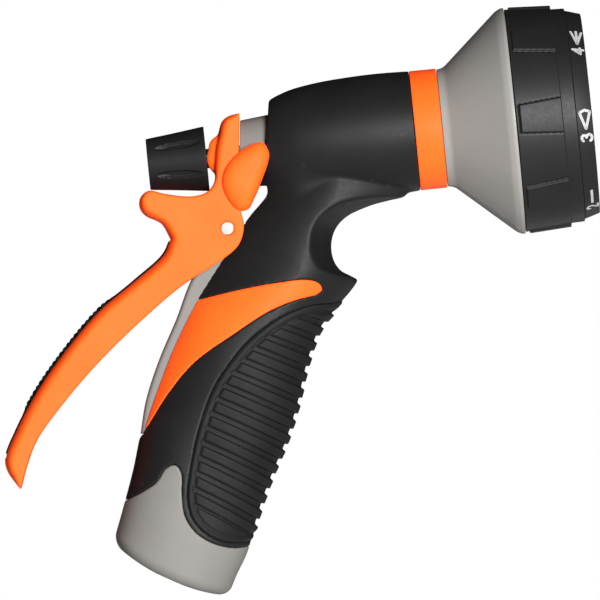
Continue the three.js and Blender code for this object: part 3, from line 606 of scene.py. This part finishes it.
grid = Grid((-18, -19.5, -8), (28, 19.5, 37.5), 0.42)
end = body_field(grid)
end = np.maximum(end, np.minimum(-(end + 2.4), deep(grid.height() - 14.9)))
end = np.maximum(end, -rod_handle(grid, 12.0))
socket = np.maximum(rod_handle(grid, 14.8), deep(grid.height() - 13.5))
end = cut_round(end, -socket, 0.35)
end = cut_round(end, deep(region(grid.plan, GREY_REGION) + GAP), 0.12)
piece("inlet_cap", *surface(end, grid), GRIP, "grey_plastic", GREY, "inlet_end")
HANDLE_UP = (math.sin(RAKE), 0, math.cos(RAKE))
nut = [(4.4, 14.45), (4.4, 13.9), (5.0, 13.4)]
for k in range(3):
    start = 5.6 + 2.21 * k
    nut += [(start, 13.55), (start + 0.75, 12.35), (start + 1.2, 12.35), (start + 1.95, 13.55)]
nut += [(12.6, 13.0), (12.6, 14.45)]
piece("hose_nut", *turned(nut, (0, 0, 0), HANDLE_UP, 128, ring=True), GRIP, "brass", BRASS, "inlet_nut", 30)


RIB_COUNT, RIB_PITCH, RIB_HEIGHT, LOWEST_RIB = 16, 4.9, 2.9, 22.3


def rib_line(h, t, i):
    """Height above the lower edge of a rib. The lower ribs slant and curve more."""
    swing = 1 - i / (RIB_COUNT - 1)
    return h - (LOWEST_RIB + RIB_PITCH * i) + (t - 19) * 0.15 * swing + 0.0022 * (t - 6) ** 2 * swing


def pad_relief(grid):
    """How far the grip pad stands out: a smooth lip along its edge, and ribs that start at the lip."""
    inward = -region(grid.plan, PAD_REGION)
    h, t = grid.height(), grid.across()
    lip_width = 1.9 + 0.7 * step_up(h, 40, 85)
    lip = 0.5 * np.maximum(np.sin(math.pi * np.clip(inward / lip_width, 0, 1)), 0) ** 0.8
    ribs = np.zeros_like(h)
    lines = [rib_line(h, t, i) for i in range(RIB_COUNT)]
    for up in lines:
        flanks = step_up(up, -0.16, 0.16) * step_up(RIB_HEIGHT - up, -0.16, 0.16)
        ribs = np.maximum(ribs, flanks * (0.85 + 0.15 * np.clip(up / RIB_HEIGHT, 0, 1)))
    within = step_up(inward - lip_width, -0.4, 1.0)
    rise = 0.75 + 0.5 * step_up(t, 8, 17)
    below = 0.45 * step_up(-0.6 - lines[0], 0, 0.5) * within
    return lip + within * rise * ribs + below


grid = Grid((6.5, -20, 7), (67, 20, 84), 0.31)
skin = body_field(grid)
pad = np.maximum(skin - deep(pad_relief(grid)), -(skin + 2.9))
pad = cut_round(pad, pad_seam(grid) + 0.02, 0.08)
piece("ribbed_pad", *surface(pad, grid), GRIP, "grip_rubber", RUBBER, "grip_pad")

grid = Grid((-8, -7.5, 40), (48, 7.5, 120), 0.4)
strip = region(grid.plan, SPINE_REGION)
thick = np.minimum(6.5, 5.6 + 1.1 * np.maximum(-strip, 0))
core = cut_round(deep(strip) + 0 * grid.y, (np.abs(grid.y) - deep(thick)) * 0.6, 0.5)
lug = cut_round(rod_y(grid, 5.0, PIVOT_X, PIVOT_Z), np.abs(grid.y) - 6.5, 0.4)
LUG_ARM = np.array([(24.2, 100.6), (33.5, 96.5), (45, 104), (45, 110), (31, 105.5)])
arm = cut_round(deep(region(grid.plan, LUG_ARM)), np.abs(grid.y) - 6.5, 0.4)
core = np.maximum(join_soft(join_soft(core, lug, 0.8), arm, 0.8), -rod_y(grid, 2.25, PIVOT_X, PIVOT_Z))
core = np.maximum(core, -rod_handle(grid, 7.5))
core = np.maximum(core, -np.maximum(rod_x(grid, 10.1, VALVE_Z + GLAND_RISE), grid.x - 47))
piece("core_spine", *surface(core, grid), GRIP, "grey_plastic", GREY, "core_body")
pipe = rounded([(15.1, 7.6), (15.1, 11.5), (95, 11.5), (104, 8.9), (128, 8.9), (128, 7.6)], 0.4)
piece("core_waterway", *turned(pipe, (0, 0, 0), HANDLE_UP, 72, ring=True), GRIP, "grey_plastic", GREY,
      "core_body", 40)
pipe = rounded([(47.2, 10.1), (47.2, 12.5), (95.1, 12.5), (95.1, 10.1)], 0.4)
piece("core_housing", *turned(pipe, (0, 0, VALVE_Z), (1, 0, 0), 96, ring=True), GRIP, "grey_plastic", GREY,
      "core_body", 40)

# ------------------------------------------------------------------ lever, ears and pin
LEVER = "lever_arm"
BACK_SLOPE = 0.31  # the back edges' rounding, as seen from the side, is this share of its width across
grid = Grid((-49, -13.4, 30.5), (38, 13.4, 142.5), 0.42)
outline = joined(LEVER_BACK[:-1], LEVER_FRONT[:-1], YOKE_FRONT[:-1], YOKE_BACK[:-1])
form = region(grid.plan, outline)
to_front = away_from_line(grid.plan, joined(LEVER_FRONT, YOKE_FRONT))
to_back = away_from_line(grid.plan, joined(YOKE_BACK, LEVER_BACK))
soft = 0.4 + value_along(grid.plan, BACK_ROUNDING) * step_up(to_front - to_back, -1.2, 1.2)
flatness = BACK_SLOPE + (1 - BACK_SLOPE) * step_up(to_back - to_front, -2.4, 1.2)
lever = cut_round(deep(form) + 0 * grid.y, (np.abs(grid.y) - LEVER_HALF) * deep(flatness), deep(soft))
lobe = cut_round(rod_y(grid, 5.6, 29.85, 127.4), np.abs(grid.y) - 8.4, 1.6)
lobe = np.minimum(lobe, cut_round(rod_y(grid, 4.3, 29.4, 130.3), np.abs(grid.y) - 8.4, 1.6))
lever = join_soft(lever, lobe, 0.7)
channel = cut_round(deep(region(grid.plan, CHANNEL_REGION)) + 0 * grid.y, np.abs(grid.y) - 10.1, 0.8)
lever = cut_round(lever, -channel, 0.3)
bed = np.maximum(deep(np.maximum(to_back - 1.6, 0.5 - (grid.plan[1] - 42))), np.abs(grid.y) - 7.2)
bed = np.maximum(bed, deep(grid.plan[1] - 104.2))
lever = np.maximum(lever, -bed)
slot = np.maximum(np.minimum(rod_x(grid, 4.6, VALVE_Z), rod_x(grid, 4.6, VALVE_Z + 0.9)), 10 - grid.x)
lever = cut_round(lever, -slot, 0.4)
lever = np.maximum(lever, -rod_y(grid, 2.0, PIVOT_X, PIVOT_Z))
lever = np.maximum(lever, -np.maximum(rod_y(grid, 7.2, PIVOT_X, PIVOT_Z), np.abs(grid.y) - 7.1))
piece("squeeze_lever", *surface(lever, grid), LEVER, "orange_plastic", ORANGE, "lever")


def back_strip():
    """The knurled strip let into the lever's back."""
    line = np.array([p for p in LEVER_BACK if 43 < p[1] < 104.45])
    reach = np.concatenate([[0], np.cumsum(np.hypot(*np.diff(line, axis=0).T))])
    count = int(reach[-1] / (0.3 * FINE))
    at = np.linspace(0, reach[-1], count)
    x, z = np.interp(at, reach, line[:, 0]), np.interp(at, reach, line[:, 1])
    dx, dz = np.gradient(x), np.gradient(z)
    size = np.hypot(dx, dz)
    out_x, out_z = dz / size, -dx / size
    half = 7.0
    top = np.linspace(-half, half, 60)
    under = top[::-1][::8]
    points, faces = [], []
    for i in range(count):
        for y in top:
            along, across = at[i] / 3.6, y / 4.4
            knurl = abs(math.sin(math.pi * (along + across)) * math.sin(math.pi * (along - across)))
            edge = min(1, (half - abs(y)) / 0.7, at[i] / 0.4, (reach[-1] - at[i]) / 0.4)
            field = min(1, max(0, (z[i] - 55) / 3), max(0, (89 - z[i]) / 3))
            crown = 2.9 * (1 - math.sqrt(1 - (y / 11.5) ** 2))
            rise = -0.5 + max(edge, 0) * (0.68 + field * (0.05 + 0.6 * knurl)) - crown
            points.append((x[i] + out_x[i] * rise, y, z[i] + out_z[i] * rise))
        for y in under:
            points.append((x[i] - out_x[i] * 1.5, y, z[i] - out_z[i] * 1.5))
    ring = len(top) + len(under)
    for i in range(count - 1):
        for k in range(ring):
            m = (k + 1) % ring
            faces.append((i * ring + k, i * ring + m, (i + 1) * ring + m, (i + 1) * ring + k))
    faces.append(tuple(reversed(range(ring))))
    faces.append(tuple(range((count - 1) * ring, count * ring)))
    return points, outward(points, faces)


piece("lever_strip", *back_strip(), LEVER, "grip_rubber", RUBBER, "lever_pad", 50)


def ear():
    """A leaf-shaped dome on the side of the yoke."""
    hub = np.array([36.0, 121.6])
    rings = 22
    points, faces = [], []
    count = len(GUARD_EDGE)
    for i in range(rings):
        share = 1 - i / rings
        rise = 3.35 * (1 - share ** 3.4) ** 0.6
        for x, z in GUARD_EDGE:
            px, pz = hub[0] + (x - hub[0]) * share, hub[1] + (z - hub[1]) * share
            points.append((px, LEVER_HALF + 0.1 + rise, pz))
    points.append((hub[0], LEVER_HALF + 0.1 + 3.35, hub[1]))
    for i in range(rings - 1):
        for k in range(count):
            m = (k + 1) % count
            faces.append((i * count + k, i * count + m, (i + 1) * count + m, (i + 1) * count + k))
    last = (rings - 1) * count
    faces += [(last + k, last + (k + 1) % count, rings * count) for k in range(count)]
    faces.append(tuple(reversed(range(count))))
    return np.array(points), outward(points, faces)


points, faces = ear()
piece("ear_left", points, faces, LEVER, "orange_plastic", ORANGE, "guard_left", 50)
piece("ear_right", *mirrored(points, faces), LEVER, "orange_plastic", ORANGE, "guard_right", 50)

pin = rounded([(-12.8, 0.01), (-12.8, 1.9), (12.8, 1.9), (12.8, 0.01)], 0.12)
piece("hinge_pin", *turned(pin, (PIVOT_X, 0, PIVOT_Z), (0, 1, 0), 48), GRIP, "steel", PIN_WHITE, "pivot_pin", 40)

# ------------------------------------------------------------------ gland and knob
gland = rounded([(34.7, 3.5), (34.7, 8.7), (45.3, 9.7), (46.9, 9.7), (46.9, 7.3), (52, 7.3), (52, 5.1),
                 (46.2, 5.1), (46.2, 3.5)], 0.35)
points, faces = turned(gland, (0, 0, VALVE_Z), (1, 0, 0), 128, ring=True)
lean = np.clip((45 - points[:, 0]) / 10, 0, 1)
points[:, 0] += 0.105 * (points[:, 2] - VALVE_Z) * lean
from_stem = np.hypot(points[:, 1], points[:, 2] - VALVE_Z)
points[:, 2] += GLAND_RISE * np.clip((from_stem - 3.5) / 3.5, 0, 1)
piece("gland_cone", points, faces, GRIP, "grey_plastic", GREY, "stem_gland", 40)

FLUTES = 6


def fluted(along, angle, radius):
    """Six long lens-shaped hollows round the knob."""
    if radius < 7.0:
        return radius
    turn = math.radians(147)
    away = (angle - turn + math.pi / FLUTES) % (2 * math.pi / FLUTES) - math.pi / FLUTES
    length = (along - 15.6) / 7.1
    width = (away * radius) / 1.35
    inside = 1 - length * length - width * width
    if inside <= 0:
        return radius
    return radius - 0.95 * min(1, inside * 1.6) ** 0.75


def refined(profile, pieces):
    """Cut each stretch that runs over 10 mm along the axis into short pieces."""
    line = []
    for a, b in zip(profile, profile[1:]):
        count = pieces if b[0] - a[0] > 10 else 1
        line += [(a[0] + (b[0] - a[0]) * k / count, a[1] + (b[1] - a[1]) * k / count) for k in range(count)]
    return line + [profile[-1]]


knob = rounded([(6.6, 0.01), (6.6, 5.2), (6.1, 5.9), (6.1, 7.85), (24.2, 10.0), (24.2, 4.5), (13.5, 4.5),
                (13.5, 2.6), (8.3, 2.6), (8.3, 0.01)], 0.22)
piece("knob_grip", *turned(refined(knob, 70), (0, 0, VALVE_Z), (1, 0, 0), 240, fluted), "knob", "black_shell", BLACK,
      "flow_knob", 35)

# ------------------------------------------------------------------ head
HEAD = (0, 0, HEAD_Z)
collar = rounded([(88.8, 15.3), (88.8, 18.4), (97.05, 18.4), (97.05, 15.3)], 0.3)
piece("collar_band", *turned(collar, HEAD, (1, 0, 0), 200, ring=True), GRIP, "orange_plastic", ORANGE,
      "collar_ring", 40)
# The bell's colour is painted brighter than the other grey parts, as painted light; its gloss is real.
bell = rounded([(97.2, 13.6), (97.2, 18.0), (99.4, 18.5), (117.0, 34.1), (118.6, 34.85), (119.6, 34.85),
                (119.6, 32.6), (117.3, 31.9), (99.5, 15.7)], [0, 0.25, 3.0, 1.6, 0.8, 0.2, 0.3, 1, 1], 10)
piece("bell_flare", *turned(bell, HEAD, (1, 0, 0), 400, ring=True), GRIP, "grey_plastic", GLOSSY_GREY_PAINTED_BRIGHT,
      "head_bell", 40)


def thumb_pads(along, angle, radius):
    """Eight raised pads round the dial, wider towards the spray face."""
    if along < 120.3 or along > 133.9 or radius < 33.2:
        return radius
    turn = (math.degrees(angle) + 180 + 22.5) % 45 - 22.5
    share = (along - 120.6) / 13.0
    below = (7.4 + 1.8 * share - turn) * 0.61
    above = (7.6 + 2.2 * share + turn) * 0.61
    inward = min(above, below, along - 120.7)
    climb = min(1, max(0, inward / 0.6))
    groove = max(0, 1 - abs(inward + 0.1) / 0.35)
    return radius + 0.6 * climb * climb * (3 - 2 * climb) - 0.14 * groove


ring = rounded([(119.8, 32.4), (119.8, 34.4), (133.95, 33.6), (133.95, 33.05), (138.15, 32.9), (138.15, 32.4)],
               [0, 0.3, 0.35, 0.2, 0.35, 0])
piece("dial_grip", *turned(refined(ring, 110), HEAD, (1, 0, 0), 1280, thumb_pads, ring=True), "dial", "black_shell", DIAL,
      "dial_ring", 40)
rim = rounded([(138.22, 29.1), (138.22, 32.2), (143.0, 30.75), (143.0, 29.1)], 0.3)
piece("rim_band", *turned(rim, HEAD, (1, 0, 0), 240, ring=True), "dial", "black_shell", DIAL, "rim_ring", 40)

DIGITS = {
    1: [[(-0.5, 1.9), (0.1, 2.5), (0.1, 0)]],
    2: [[(-0.75, 1.9), (-0.55, 2.35), (0, 2.5), (0.6, 2.3), (0.75, 1.8), (0.5, 1.25), (-0.75, 0), (0.8, 0)]],
    3: [[(-0.7, 2.15), (-0.3, 2.45), (0.3, 2.45), (0.7, 2.1), (0.6, 1.6), (0.1, 1.35), (0.65, 1.1), (0.8, 0.6),
         (0.5, 0.15), (0, 0), (-0.5, 0.1), (-0.8, 0.45)]],
    4: [[(0.35, 0), (0.35, 2.5), (-0.85, 0.75), (0.85, 0.75)]],
    5: [[(0.65, 2.5), (-0.55, 2.5), (-0.65, 1.4), (0.1, 1.6), (0.7, 1.2), (0.75, 0.6), (0.4, 0.1), (-0.2, 0),
         (-0.75, 0.3)]],
    6: [[(0.5, 2.5), (-0.3, 1.9), (-0.75, 1.1), (-0.7, 0.4), (-0.2, 0), (0.35, 0.02), (0.75, 0.45), (0.7, 1.1),
         (0.2, 1.45), (-0.4, 1.3), (-0.7, 0.9)]],
    7: [[(-0.8, 2.5), (0.8, 2.5), (-0.15, 0)]],
}


def dots(rows):
    return [[(x, z), (x + 0.02, z)] for x, z in rows]


# A small sign after each digit: what the spray looks like.
SIGNS = {
    1: dots([(x, z) for x in (2.4, 3.6, 4.8, 6.0) for z in (0.4, 1.25, 2.1)]),
    2: [[(2.2, 1.25), (7.0, 1.25)]],
    3: [[(2.2, 1.25), (6.2, 2.5)], [(2.2, 1.25), (6.2, 0.0)], [(6.2, 2.5), (6.7, 1.25), (6.2, 0.0)]],
    4: [[(2.2, 1.25), (6.4, 2.5)], [(2.2, 1.25), (6.7, 1.25)], [(2.2, 1.25), (6.4, 0.0)]],
    5: [[(2.4, 0.5), (6.6, 0.5)], [(2.4, 1.25), (6.6, 1.25)], [(2.4, 2.0), (6.6, 2.0)]],
    6: dots([(x + 0.5 * (z > 1), z) for x in (2.4, 3.4, 4.4, 5.4, 6.2) for z in (0.3, 2.2)]),
    7: [[(2.2, 0.2), (2.2, 2.3), (4.2, 1.25), (6.6, 2.3), (6.6, 0.2), (4.2, 1.25), (2.2, 0.2)]],
}


def rim_marks(points_out, faces_out, line, at_degrees, width=0.62):
    """Lay one stroke on the rim's cone, as a strip that follows it."""
    dense = []
    for a, b in zip(line, line[1:]):
        steps = max(1, int(math.dist(a, b) / 0.35))
        dense += [(a[0] + (b[0] - a[0]) * k / steps, a[1] + (b[1] - a[1]) * k / steps) for k in range(steps)]
    dense.append(line[-1])
    shapes = []
    for a, b in zip(dense, dense[1:]):
        length = max(math.dist(a, b), 1e-6)
        nx, nz = -(b[1] - a[1]) / length * width / 2, (b[0] - a[0]) / length * width / 2
        shapes.append([(a[0] - nx, a[1] - nz), (b[0] - nx, b[1] - nz),
                       (b[0] + nx, b[1] + nz), (a[0] + nx, a[1] + nz)])
    turns = np.arange(8) * math.pi / 4
    for x, z in dense:
        shapes.append([(x + width / 2 * math.cos(t), z + width / 2 * math.sin(t)) for t in turns])
    for shape in shapes:
        first = len(points_out)
        for x, z in shape:
            along = 142.35 - z * 1.28
            radius = 32.15 - (along - 138.45) * 0.3077 + 0.05
            angle = math.radians(at_degrees) + (x - 2.6) * 1.28 / radius
            points_out.append((along, -radius * math.cos(angle), HEAD_Z + radius * math.sin(angle)))
        faces_out.append(tuple(range(first, first + len(shape))))


points, faces = [], []
for number in range(1, 8):
    for line in DIGITS[number] + SIGNS[number]:
        rim_marks(points, faces, line, -8 + (number - 3) * 360 / 7)
piece("dial_marks", points, faces, "dial", "grey_plastic", PRINT)

# ------------------------------------------------------------------ carried-over CAD nodes
KEPT = {
    "inlet_washer": SEAL, "gland_seal": SEAL, "valve_washer": SEAL, "port_seal": SEAL,
    "valve_seat": BRASS, "valve_head": BRASS, "knob_insert": BRASS,
    "filter_screen": STEEL, "return_spring": STEEL, "valve_stem": STEEL, "stem_clip": STEEL,
    "detent_spring": STEEL, "detent_ball": STEEL, "centre_screw": STEEL,
    "port_disc": GREY, "selector_plate": GREY, "cone_insert": GREY, "mist_insert": GREY,
    "jet_insert": ORANGE, "face_cap": ORANGE, "spray_face": DIAL,
}
for node, look in KEPT.items():
    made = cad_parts[node]
    made.data.materials.clear()
    made.data.materials.append(look)

# ------------------------------------------------------------------ floor, lights and camera
floor_mesh = bpy.data.meshes.new("floor")
turns = np.linspace(0, 2 * math.pi, 97)[:-1]
rim_points = [(0.05 + 0.9 * math.cos(a), 0.9 * math.sin(a), -0.26) for a in turns]
floor_mesh.from_pydata(rim_points, [], [tuple(range(96))])
floor = bpy.data.objects.new("floor", floor_mesh)
bpy.context.scene.collection.objects.link(floor)
floor.data.materials.append(moulded("pale_floor", (0.82, 0.82, 0.81), (0.86, 0.86, 0.85), 0.7, 0.2, 60, 0.05))

scene = bpy.context.scene
scene.view_settings.view_transform = "Standard"
scene.view_settings.look = "None"
world = bpy.data.worlds.new("studio")
scene.world = world
world.use_nodes = True
tree = world.node_tree
back = tree.nodes["Background"]
seen = tree.nodes.new("ShaderNodeBackground")
seen.inputs["Color"].default_value = (1, 1, 1, 1)
seen.inputs["Strength"].default_value = 1.0
back.inputs["Color"].default_value = (1, 1, 1, 1)
back.inputs["Strength"].default_value = 0.035
path = tree.nodes.new("ShaderNodeLightPath")
mix = tree.nodes.new("ShaderNodeMixShader")
tree.links.new(path.outputs["Is Camera Ray"], mix.inputs[0])
tree.links.new(back.outputs[0], mix.inputs[1])
tree.links.new(seen.outputs[0], mix.inputs[2])
tree.links.new(mix.outputs[0], tree.nodes["World Output"].inputs["Surface"])

TARGET = Vector((0.0485, 0.0, 0.0817))


def soft_light(name, place, size, power, glossy=True):
    data = bpy.data.lights.new(name, "AREA")
    data.shape = "DISK"
    data.size = size
    data.energy = power
    lamp = bpy.data.objects.new(name, data)
    lamp.location = place
    lamp.rotation_euler = (TARGET - Vector(place)).to_track_quat("-Z", "Y").to_euler()
    lamp.visible_camera = False
    lamp.visible_glossy = glossy
    scene.collection.objects.link(lamp)


soft_light("front_soft", (0.68, -2.33, 0.32), 0.8, 184)
soft_light("rear_left_soft", (-1.2, 1.95, 0.4), 0.8, 34, glossy=False)
soft_light("rear_right_soft", (1.3, 1.95, 0.4), 0.8, 34, glossy=False)
soft_light("rear_soft", (0.05, 2.4, 0.5), 0.8, 8, glossy=False)

camera_data = bpy.data.cameras.new("camera")
camera_data.sensor_width = 36
DISTANCE = 5.0
VIEW_WIDTH = 0.1846
camera_data.lens = 36 * DISTANCE / VIEW_WIDTH
camera_data.clip_end = 20
camera = bpy.data.objects.new("camera", camera_data)
ROLL = math.radians(5.7)
right = Vector((math.cos(ROLL), 0, -math.sin(ROLL)))
up = Vector((math.sin(ROLL), 0, math.cos(ROLL)))
toward = Vector((0, -1, 0))
turn = Matrix((right, up, toward)).transposed().to_4x4()
camera.matrix_world = Matrix.Translation(TARGET + toward * DISTANCE) @ turn
scene.collection.objects.link(camera)
scene.camera = camera
